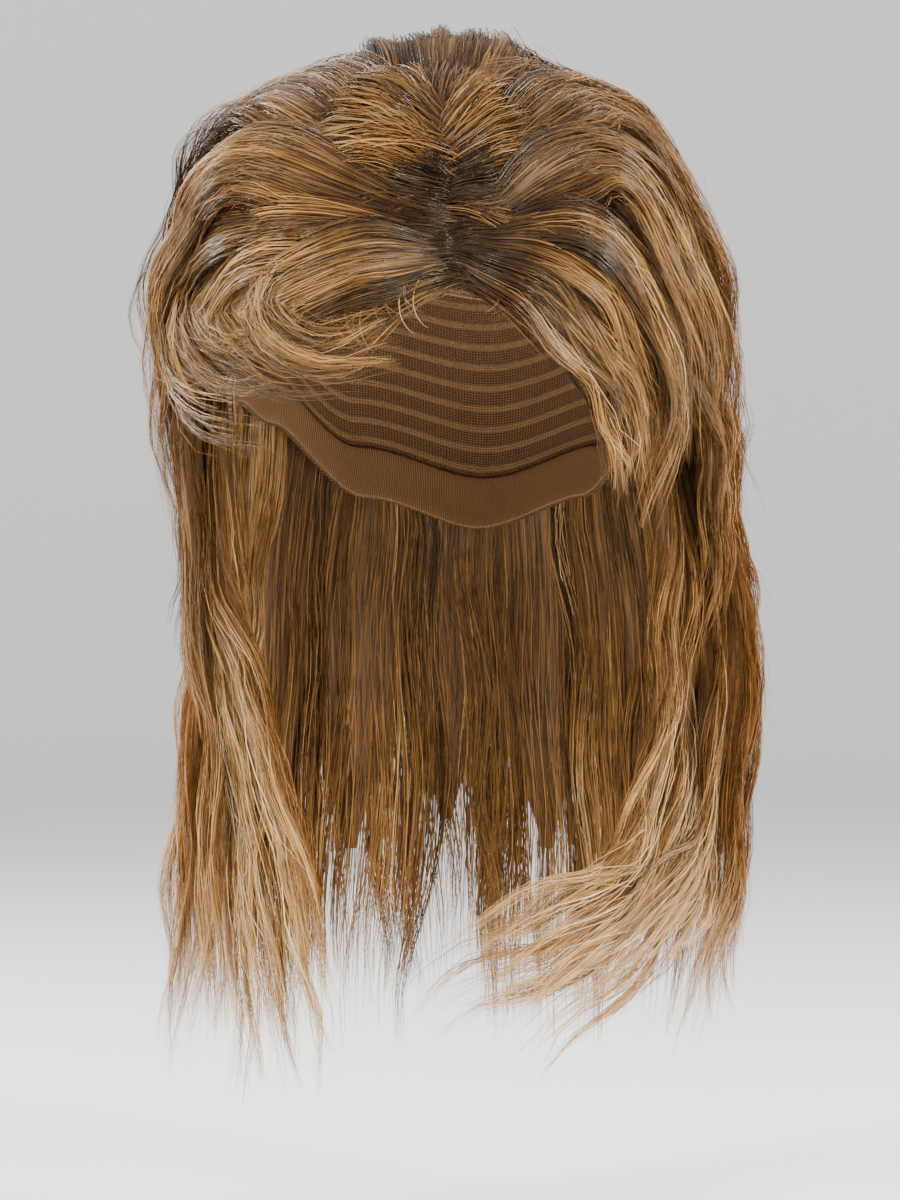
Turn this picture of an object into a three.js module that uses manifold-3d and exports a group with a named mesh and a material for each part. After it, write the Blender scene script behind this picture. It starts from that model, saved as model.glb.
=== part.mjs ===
// Mullet wig: a stretch cap with teased hair over its crown, a fringe swept from a parting,
// feathered short layers over the ears and long tails that hang past the shoulders.
//
// Millimetres. +Z is up, the wearer faces -Y and the wearer's left is +X.
// The origin is the inside top of the cap, where it bears on the crown of the head.
//
// A place on the wig is given as a hairdresser would:
//   around  degrees round the head, 0 at the face, 90 at the left ear, 180 at the back
//   fall    0 at the crown, 1 at the widest level of the head, 2 at the lowest tips
//   lift    how far the hair stands off the cap there, as a share of the wig's volume

import * as THREE from "three";
import { mergeVertices } from "three/addons/utils/BufferGeometryUtils.js";
import Module from "manifold-3d";

const wasm = await Module();
wasm.setup();

// Head that the cap fits
const headBreadth = 156;
const headLength = 198;
const crownHeight = 90; // from the crown of the head down to its widest level

// Cap, and the binding sewn inside its rim
const capWall = 1.5;
const bandWall = 1.2;
const seam = 0.35; // kept between pieces that are sewn or laid on each other

// Hair
const volume = 46; // of the teased crown above the cap
const tailDrop = 262; // from the widest level of the head down to the lowest tips
const lockWidth = 40; // of a middling lock
const lockThick = 14;
const wisp = 3.2; // least width of a lock, at its tip
const weftDepth = 12; // of the sewn strip that the locks of one group grow from
const weftThick = 5;

// Depth of the cap's rim below the crown, from the face round to the nape, in crown heights
const rimLine = [
  { around: 0, depth: 0.64 },
  { around: 35, depth: 0.7 },
  { around: 58, depth: 0.92 },
  { around: 72, depth: 1.18 },
  { around: 88, depth: 1.06 },
  { around: 108, depth: 1.14 },
  { around: 140, depth: 1.46 },
  { around: 180, depth: 1.6 },
];

// Thickness of the teased underhair from the crown down to its lower edge, in volumes
const underhairThickness = [
  { down: 0, lift: 0.62 },
  { down: 0.3, lift: 0.58 },
  { down: 0.6, lift: 0.44 },
  { down: 0.85, lift: 0.26 },
  { down: 1, lift: 0.08 },
];
// Fall of the underhair's lower edge, which stays behind the hairline over the face
const underhairEdge = [
  { around: 0, fall: 0.64 },
  { around: 50, fall: 0.74 },
  { around: 80, fall: 0.92 },
  { around: 180, fall: 0.93 },
];
// Hollow in the underhair at the parting, where the top hair starts
const parting = { around: 20, fall: 0.55, spread: 26, depth: 0.62 };

// Form of one lock along its length, as shares of its group's width and thickness. root is
// the group's own share of width at the root.
const lockForm = [
  { along: 0, width: 0, thick: 0.7 },
  { along: 0.24, width: 0.95, thick: 1 },
  { along: 0.5, width: 1, thick: 1 },
  { along: 0.78, width: 0.84, thick: 0.8 },
  { along: 1, width: 0.08, thick: 0.16 },
];

// Groups of locks, from the innermost out, with width and thick as shares of a middling
// lock's. weft is true where they hang from a sewn strip. A row of course is one section of
// the hair, from its root to its tip, and each pair is the value at the group's first and
// last lock.
const hairGroups = [
  {
    name: "tail_right",
    sections: 6,
    locks: 5,
    width: 0.85,
    thick: 0.9,
    root: 0.8,
    weft: true,
    course: [
      { around: [-76, -112], fall: [1, 1], lift: [0.08, 0.08] },
      { around: [-78, -110], fall: [1.22, 1.22], lift: [0.06, 0.3] },
      { around: [-57, -100], fall: [1.56, 1.56], lift: [-0.3, 0.46] },
      { around: [-30, -94], fall: [1.97, 1.93], lift: [-0.4, 0.56] },
    ],
  },
  {
    name: "tail_left",
    sections: 7,
    locks: 5,
    width: 0.85,
    thick: 0.9,
    root: 0.8,
    weft: true,
    course: [
      { around: [102, 126], fall: [1, 1], lift: [0.08, 0.08] },
      { around: [100, 116], fall: [1.25, 1.25], lift: [0.14, 0.8] },
      { around: [92, 114], fall: [1.5, 1.5], lift: [0.12, 0.88] },
      { around: [74, 112], fall: [1.72, 1.72], lift: [0.04, 0.74] },
      { around: [14, 110], fall: [1.87, 1.9], lift: [-0.2, 0.6] },
    ],
  },
  {
    name: "tail_back",
    sections: 5,
    locks: 6,
    width: 1.45,
    thick: 1,
    root: 0.8,
    weft: true,
    course: [
      { around: [-124, -234], fall: [1, 1], lift: [0.08, 0.08] },
      { around: [-122, -234], fall: [1.25, 1.25], lift: [0.28, 0.5] },
      { around: [-122, -236], fall: [1.6, 1.6], lift: [0.4, 0.62] },
      { around: [-120, -238], fall: [1.95, 1.95], lift: [0.36, 0.54] },
    ],
  },
  {
    name: "layer_right",
    sections: 6,
    locks: 3,
    width: 0.95,
    thick: 0.85,
    root: 0.8,
    weft: true,
    course: [
      { around: [-74, -108], fall: [0.88, 0.88], lift: [0.24, 0.24] },
      { around: [-76, -106], fall: [1.06, 1.06], lift: [0.24, 0.36] },
      { around: [-76, -104], fall: [1.28, 1.28], lift: [0.2, 0.44] },
      { around: [-70, -100], fall: [1.5, 1.46], lift: [0.06, 0.42] },
    ],
  },
  {
    name: "layer_left",
    sections: 6,
    locks: 3,
    width: 0.95,
    thick: 0.85,
    root: 0.8,
    weft: true,
    course: [
      { around: [94, 126], fall: [0.88, 0.88], lift: [0.24, 0.24] },
      { around: [98, 122], fall: [1.06, 1.06], lift: [0.5, 0.6] },
      { around: [102, 120], fall: [1.24, 1.24], lift: [0.5, 0.74] },
      { around: [102, 118], fall: [1.4, 1.48], lift: [0.36, 0.78] },
    ],
  },
  {
    name: "layer_back",
    sections: 5,
    locks: 5,
    width: 1.55,
    thick: 0.9,
    root: 0.8,
    weft: true,
    course: [
      { around: [-126, -234], fall: [0.88, 0.88], lift: [0.24, 0.24] },
      { around: [-126, -234], fall: [1.06, 1.06], lift: [0.48, 0.56] },
      { around: [-124, -236], fall: [1.26, 1.26], lift: [0.52, 0.68] },
      { around: [-124, -236], fall: [1.48, 1.48], lift: [0.46, 0.62] },
    ],
  },
  {
    name: "crown_right",
    sections: 8,
    locks: 4,
    width: 1.5,
    thick: 1.3,
    root: 0.35,
    weft: false,
    course: [
      { around: [9, 16], fall: [0.45, 0.38], lift: [0.26, 0.3] },
      { around: [-70, -168], fall: [0.34, 0.06], lift: [0.7, 0.78] },
      { around: [-94, -178], fall: [0.66, 0.54], lift: [0.6, 0.72] },
      { around: [-112, -182], fall: [1.16, 1.18], lift: [0.42, 0.5] },
    ],
  },
  {
    name: "crown_left",
    sections: 8,
    locks: 4,
    width: 1.5,
    thick: 1.3,
    root: 0.35,
    weft: false,
    course: [
      { around: [23, 31], fall: [0.38, 0.45], lift: [0.3, 0.26] },
      { around: [148, 76], fall: [0.07, 0.34], lift: [0.78, 0.66] },
      { around: [164, 98], fall: [0.54, 0.66], lift: [0.7, 0.6] },
      { around: [160, 118], fall: [1.18, 1.12], lift: [0.52, 0.62] },
    ],
  },
  {
    name: "wing_right",
    sections: 7,
    locks: 3,
    width: 1.05,
    thick: 1.1,
    root: 0.4,
    weft: false,
    course: [
      { around: [9, 8], fall: [0.59, 0.5], lift: [0.16, 0.22] },
      { around: [-42, -68], fall: [0.56, 0.42], lift: [0.6, 0.72] },
      { around: [-70, -92], fall: [0.8, 0.74], lift: [0.48, 0.54] },
      { around: [-84, -106], fall: [1.2, 1.24], lift: [0.34, 0.42] },
    ],
  },
  {
    name: "wing_left",
    sections: 7,
    locks: 3,
    width: 1.05,
    thick: 1.1,
    root: 0.4,
    weft: false,
    course: [
      { around: [32, 31], fall: [0.59, 0.5], lift: [0.16, 0.22] },
      { around: [60, 80], fall: [0.54, 0.44], lift: [0.56, 0.64] },
      { around: [78, 98], fall: [0.8, 0.74], lift: [0.56, 0.6] },
      { around: [86, 106], fall: [1.04, 1.14], lift: [0.52, 0.64] },
    ],
  },
  {
    name: "fringe_right",
    sections: 7,
    locks: 4,
    width: 0.75,
    thick: 0.8,
    root: 0.5,
    weft: false,
    course: [
      { around: [17, 10], fall: [0.7, 0.64], lift: [0.1, 0.14] },
      { around: [-8, -40], fall: [0.76, 0.68], lift: [0.26, 0.5] },
      { around: [-24, -68], fall: [0.84, 0.86], lift: [0.28, 0.44] },
      { around: [-14, -50], fall: [0.92, 1], lift: [0.2, 0.3] },
      { around: [4, -26], fall: [0.91, 1.02], lift: [0.12, 0.2] },
    ],
  },
  {
    name: "fringe_left",
    sections: 6,
    locks: 4,
    width: 0.7,
    thick: 0.85,
    root: 0.5,
    weft: false,
    course: [
      { around: [23, 30], fall: [0.7, 0.64], lift: [0.1, 0.14] },
      { around: [38, 50], fall: [0.8, 0.7], lift: [0.24, 0.5] },
      { around: [52, 68], fall: [0.93, 0.88], lift: [0.24, 0.44] },
      { around: [64, 79], fall: [1.06, 1.05], lift: [0.18, 0.34] },
      { around: [70, 77], fall: [1.15, 1.17], lift: [0.06, 0.2] },
    ],
  },
];
const tipStagger = 0.035; // how far neighbouring tips differ in fall
const liftStagger = 0.05; // how far neighbouring locks differ in lift
const staggerTurn = 2.4; // radians from one lock to the next, so that no two match

// Fineness of the faceted surfaces
const roundSteps = 28;
const domeRows = [0.17, 0.34, 0.52, 0.7, 0.87, 1]; // shares of the way down; the binding is one row
const lockSides = 6;

const { degToRad, radToDeg, lerp, smoothstep, euclideanModulo } = THREE.MathUtils;

// A table's column at x of its key column, eased from row to row
function read(table, key, column, x) {
  const next = table.findIndex((row) => row[key] >= x);
  if (next <= 0) return table[next === 0 ? 0 : table.length - 1][column];
  const [low, high] = [table[next - 1], table[next]];
  return lerp(low[column], high[column], smoothstep(x, low[key], high[key]));
}

// Degrees from the face, 0 to 180, on either side
function fromFace(around) {
  return Math.abs(euclideanModulo(around + 180, 360) - 180);
}

// Point on the head, an ellipsoid, grown by off. polar is in degrees from the crown.
function headPoint(around, polar, off) {
  const [a, p] = [degToRad(around), degToRad(polar)];
  return new THREE.Vector3(
    (headBreadth / 2 + off) * Math.sin(p) * Math.sin(a),
    -(headLength / 2 + off) * Math.sin(p) * Math.cos(a),
    (crownHeight + off) * Math.cos(p) - crownHeight,
  );
}

// Point in the hair: it follows the cap to the head's widest level and hangs below it
function hairPoint(around, fall, lift) {
  const off = capWall + lift * volume;
  const point = headPoint(around, 90 * Math.min(fall, 1), off);
  point.z -= Math.max(fall - 1, 0) * tailDrop;
  return point;
}

// Unit vector out of the hair at a point
function outward(point) {
  const level = Math.min(point.z, -crownHeight);
  return new THREE.Vector3(point.x, point.y, point.z - level).normalize();
}

// A closed geometry as a solid
function solidOf(points, faces) {
  const geometry = new THREE.BufferGeometry().setFromPoints(points);
  geometry.setIndex(faces);
  const merged = mergeVertices(geometry, 1e-4);
  return new wasm.Manifold(
    new wasm.Mesh({
      numProp: 3,
      vertProperties: merged.getAttribute("position").array,
      triVerts: new Uint32Array(merged.index.array),
    }),
  );
}

// A solid as a geometry
function geometryOf(solid) {
  const { numProp, vertProperties, triVerts, numVert } = solid.getMesh();
  const position = new Float32Array(numVert * 3);
  for (let i = 0; i < numVert; i++) {
    position.set(vertProperties.subarray(i * numProp, i * numProp + 3), i * 3);
  }
  const geometry = new THREE.BufferGeometry();
  geometry.setAttribute("position", new THREE.BufferAttribute(position, 3));
  geometry.setIndex(new THREE.BufferAttribute(triVerts, 1));
  return geometry;
}

// Solid through rings of points, with a fan over each end
function loftSolid(rings) {
  const sides = rings[0].length;
  const points = rings.flat();
  const faces = [];
  for (let i = 0; i + 1 < rings.length; i++) {
    for (let k = 0; k < sides; k++) {
      const [a, b] = [i * sides + k, i * sides + ((k + 1) % sides)];
      faces.push(a, b, b + sides, a, b + sides, a + sides);
    }
  }
  for (const [ring, start, turn] of [
    [rings[0], 0, 1],
    [rings[rings.length - 1], (rings.length - 1) * sides, 0],
  ]) {
    const centre = new THREE.Vector3();
    ring.forEach((point) => centre.addScaledVector(point, 1 / sides));
    points.push(centre);
    for (let k = 0; k < sides; k++) {
      faces.push(points.length - 1, start + ((k + turn) % sides), start + ((k + 1 - turn) % sides));
    }
  }
  return solidOf(points, faces);
}

// Dome under a surface, which gives a point for degrees round the head and a share of the way
// down. inner is the surface of its hollow; without it the dome is filled, down to its edge.
function domeSolid(outer, inner) {
  const rows = domeRows.length;
  const points = [outer(0, 0), inner ? inner(0, 0) : outer(180, 1).setY(0)];
  for (const surface of inner ? [outer, inner] : [outer]) {
    for (const down of domeRows) {
      for (let i = 0; i < roundSteps; i++) points.push(surface((360 * i) / roundSteps, down));
    }
  }
  const at = (side, k, i) => 2 + (side * rows + k) * roundSteps + (i % roundSteps);
  const faces = [];
  const quad = (a, b, c, d) => faces.push(a, b, c, a, c, d);
  for (let i = 0; i < roundSteps; i++) {
    const n = i + 1;
    faces.push(0, at(0, 0, i), at(0, 0, n));
    for (let k = 0; k + 1 < rows; k++) {
      quad(at(0, k, i), at(0, k + 1, i), at(0, k + 1, n), at(0, k, n));
      if (inner) quad(at(1, k, i), at(1, k, n), at(1, k + 1, n), at(1, k + 1, i));
    }
    if (inner) quad(at(0, rows - 1, i), at(1, rows - 1, i), at(1, rows - 1, n), at(0, rows - 1, n));
    faces.push(1, inner ? at(1, 0, n) : at(0, rows - 1, n), inner ? at(1, 0, i) : at(0, rows - 1, i));
  }
  return solidOf(points, faces);
}

// Head-shaped solid grown by off, down past the cap's rim
function headSolid(off) {
  const rings = [];
  const steps = 2 * domeRows.length;
  for (let k = 0; k <= steps; k++) {
    const polar = lerp(178, 2, k / steps);
    const ring = [];
    for (let i = 0; i < roundSteps; i++) ring.push(headPoint((360 * i) / roundSteps, polar, off));
    rings.push(ring);
  }
  return loftSolid(rings);
}

// Polar angle of the cap's rim, let down by drop, on the head grown by off
function rimPolar(around, off, drop = 0) {
  const depth = read(rimLine, "around", "depth", fromFace(around)) * crownHeight + drop;
  return radToDeg(Math.acos((crownHeight - depth) / (crownHeight + off)));
}

function capSurface(off, drop = 0) {
  return (around, down) => headPoint(around, down * rimPolar(around, off, drop), off);
}

// Binding inside the rim, as deep as the cap's last row
function bandSolid() {
  const ringAt = (around) => {
    const low = rimPolar(around, 0);
    const high = low * domeRows.at(-2);
    const [near, far] = [-seam, -seam - bandWall];
    return [
      headPoint(around, high, near),
      headPoint(around, low, near),
      headPoint(around, low, far),
      headPoint(around, high, far),
    ];
  };
  const points = [];
  const faces = [];
  for (let i = 0; i < roundSteps; i++) {
    points.push(...ringAt((360 * i) / roundSteps));
    for (let k = 0; k < 4; k++) {
      const [a, b] = [4 * i + k, 4 * i + ((k + 1) % 4)];
      const [c, d] = [b, a].map((n) => (n + 4) % (4 * roundSteps));
      faces.push(a, b, c, a, c, d);
    }
  }
  return solidOf(points, faces);
}

// Outside of the teased underhair: a padded dome with a hollow at the parting
function underhairSurface(more) {
  const hollow = headPoint(parting.around, 90 * parting.fall, 0);
  return (around, down) => {
    const edge = 90 * read(underhairEdge, "around", "fall", fromFace(around));
    const polar = (edge + radToDeg(more / crownHeight)) * down;
    const off = headPoint(around, polar, 0).distanceTo(hollow) / parting.spread;
    const dip = 1 - parting.depth * Math.exp(-off * off);
    const lift = read(underhairThickness, "down", "lift", down) * dip;
    return headPoint(around, polar, capWall + seam + lift * volume + more);
  };
}

// Pair of values at the group's first and last lock, at share u between them
function between(pair, u) {
  return lerp(pair[0], pair[1], u);
}

// Centre line of a group's lock number i
function lockCurve(group, i) {
  const u = i / (group.locks - 1);
  const points = group.course.map((row, k) => {
    const share = k / (group.course.length - 1);
    const fall = between(row.fall, u) + tipStagger * share ** 2 * Math.sin(staggerTurn * i);
    const lift = between(row.lift, u) + (k ? liftStagger * Math.cos(staggerTurn * i) : 0);
    return hairPoint(between(row.around, u), fall, lift);
  });
  return new THREE.CatmullRomCurve3(points, false, "centripetal");
}

// One tapered lock, grown by more on every side
function lockSolid(group, i, more) {
  const curve = lockCurve(group, i);
  const rings = [];
  for (let k = 0; k < group.sections; k++) {
    const along = k / (group.sections - 1);
    const centre = curve.getPointAt(along);
    const run = curve.getTangentAt(along);
    const across = outward(centre).cross(run).normalize();
    const up = run.clone().cross(across);
    const narrow = group.root * (1 - smoothstep(along, 0, lockForm[1].along));
    const wide = lockWidth * group.width * (narrow + read(lockForm, "along", "width", along));
    const deep = lockThick * group.thick * read(lockForm, "along", "thick", along);
    if (k === 0) centre.addScaledVector(run, -more);
    if (k === group.sections - 1) centre.addScaledVector(run, more);
    const ring = [];
    for (let s = 0; s < lockSides; s++) {
      const turn = (2 * Math.PI * s) / lockSides;
      const point = centre.clone();
      point.addScaledVector(across, (Math.max(wide, wisp) / 2 + more) * Math.cos(turn));
      point.addScaledVector(up, (Math.max(deep, wisp) / 2 + more) * Math.sin(turn));
      ring.push(point);
    }
    rings.push(ring);
  }
  return loftSolid(rings);
}

// Sewn strip under the roots of a group
function weftSolid(group, more) {
  const root = group.course[0];
  const steps = group.locks;
  const place = (u) => hairPoint(between(root.around, u), between(root.fall, u), between(root.lift, u));
  const rings = [];
  for (let k = 0; k <= steps; k++) {
    const u = k / steps;
    const centre = place(u);
    const run = place(Math.min(u + 0.01, 1)).sub(place(Math.max(u - 0.01, 0))).normalize();
    const out = outward(centre);
    const down = run.clone().cross(out).normalize();
    const ring = [];
    for (const [a, b] of [[-1, -1], [1, -1], [1, 1], [-1, 1]]) {
      const point = centre.clone();
      point.addScaledVector(out, a * (weftThick / 2 + more));
      point.addScaledVector(down, b * (weftDepth / 2 + more));
      ring.push(point);
    }
    rings.push(ring);
  }
  return loftSolid(rings);
}

function groupSolid(group, more) {
  const locks = Array.from({ length: group.locks }, (_, i) => lockSolid(group, i, more));
  return wasm.Manifold.union(group.weft ? [weftSolid(group, more), ...locks] : locks);
}

// The largest body of a solid, because a cut along a neighbour can leave crumbs
function mainBody(solid) {
  return solid.decompose().reduce((a, b) => (b.volume() > a.volume() ? b : a));
}

const capMaterial = new THREE.MeshStandardMaterial({ color: 0x6b4a2c, roughness: 0.9, metalness: 0 });
const bandMaterial = new THREE.MeshStandardMaterial({ color: 0x8a6238, roughness: 0.85, metalness: 0 });
const underhairMaterial = new THREE.MeshStandardMaterial({ color: 0x7d532a, roughness: 0.6, metalness: 0 });
const hairMaterial = new THREE.MeshStandardMaterial({ color: 0xa67a45, roughness: 0.4, metalness: 0 });

const wig = new THREE.Group();
function addPiece(name, solid, material) {
  const mesh = new THREE.Mesh(geometryOf(solid), material);
  mesh.name = name;
  wig.add(mesh);
}

addPiece("cap", domeSolid(capSurface(capWall), capSurface(0)), capMaterial);
addPiece("rim_band", bandSolid(), bandMaterial);

// What the hair is cut clear of: the cap and the head under it, then each piece inside it
let taken = domeSolid(capSurface(capWall + seam, seam)).add(headSolid(0));
addPiece("underhair", domeSolid(underhairSurface(0)).subtract(taken), underhairMaterial);
taken = taken.add(domeSolid(underhairSurface(seam)));
for (const group of hairGroups) {
  addPiece(group.name, mainBody(groupSolid(group, 0).subtract(taken)), hairMaterial);
  taken = taken.add(groupSolid(group, seam));
}

export default wig;
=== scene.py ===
import math

import bpy
import numpy as np
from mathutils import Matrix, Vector


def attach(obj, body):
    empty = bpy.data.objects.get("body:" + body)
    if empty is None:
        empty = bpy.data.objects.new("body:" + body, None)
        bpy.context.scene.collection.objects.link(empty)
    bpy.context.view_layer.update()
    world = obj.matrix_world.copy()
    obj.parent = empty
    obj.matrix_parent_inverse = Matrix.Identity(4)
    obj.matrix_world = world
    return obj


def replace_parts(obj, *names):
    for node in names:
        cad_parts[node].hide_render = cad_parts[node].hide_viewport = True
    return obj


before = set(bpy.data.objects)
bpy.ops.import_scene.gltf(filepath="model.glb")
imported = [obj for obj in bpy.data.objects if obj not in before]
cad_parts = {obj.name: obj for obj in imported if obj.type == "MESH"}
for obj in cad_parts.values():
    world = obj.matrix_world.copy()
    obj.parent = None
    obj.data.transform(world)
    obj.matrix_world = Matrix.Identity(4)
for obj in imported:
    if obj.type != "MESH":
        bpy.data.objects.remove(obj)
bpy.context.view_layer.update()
rng = np.random.default_rng(11)

METRES = 0.001  # in a millimetre

# Sizes and tables of the model, in millimetres
HEAD_BREADTH = 156.0
HEAD_LENGTH = 198.0
CROWN_HEIGHT = 90.0
CAP_WALL = 1.5
BAND_WALL = 1.2
SEAM = 0.35
VOLUME = 46.0
TAIL_DROP = 262.0
LOCK_WIDTH = 40.0
LOCK_THICK = 14.0
TIP_STAGGER = 0.035
LIFT_STAGGER = 0.05
STAGGER_TURN = 2.4
BAND_ROW = 0.88

RIM_LINE = dict(
    around=[0, 35, 58, 72, 88, 108, 140, 180],
    depth=[0.64, 0.7, 0.92, 1.18, 1.06, 1.14, 1.46, 1.6],
)
UNDERHAIR_THICKNESS = dict(down=[0, 0.3, 0.6, 0.85, 1], lift=[0.62, 0.58, 0.44, 0.26, 0.08])
UNDERHAIR_EDGE = dict(around=[0, 50, 80, 180], fall=[0.64, 0.74, 0.92, 0.93])
PARTING = dict(around=20, fall=0.55, spread=26, depth=0.62)
LOCK_FORM = dict(
    along=[0, 0.24, 0.5, 0.78, 1],
    width=[0, 0.95, 1, 0.84, 0.08],
    thick=[0.7, 1, 1, 0.8, 0.16],
)
# Width of the loose hair along a lock, which spreads more at its end than the solid does
HAIR_FORM = dict(
    along=[-0.12, 0, 0.24, 0.5, 0.78, 1],
    width=[0.3, 0.45, 0.95, 1.04, 1.04, 0.86],
    thick=[0.2, 0.5, 1, 1, 1, 0.8],
)

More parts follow.
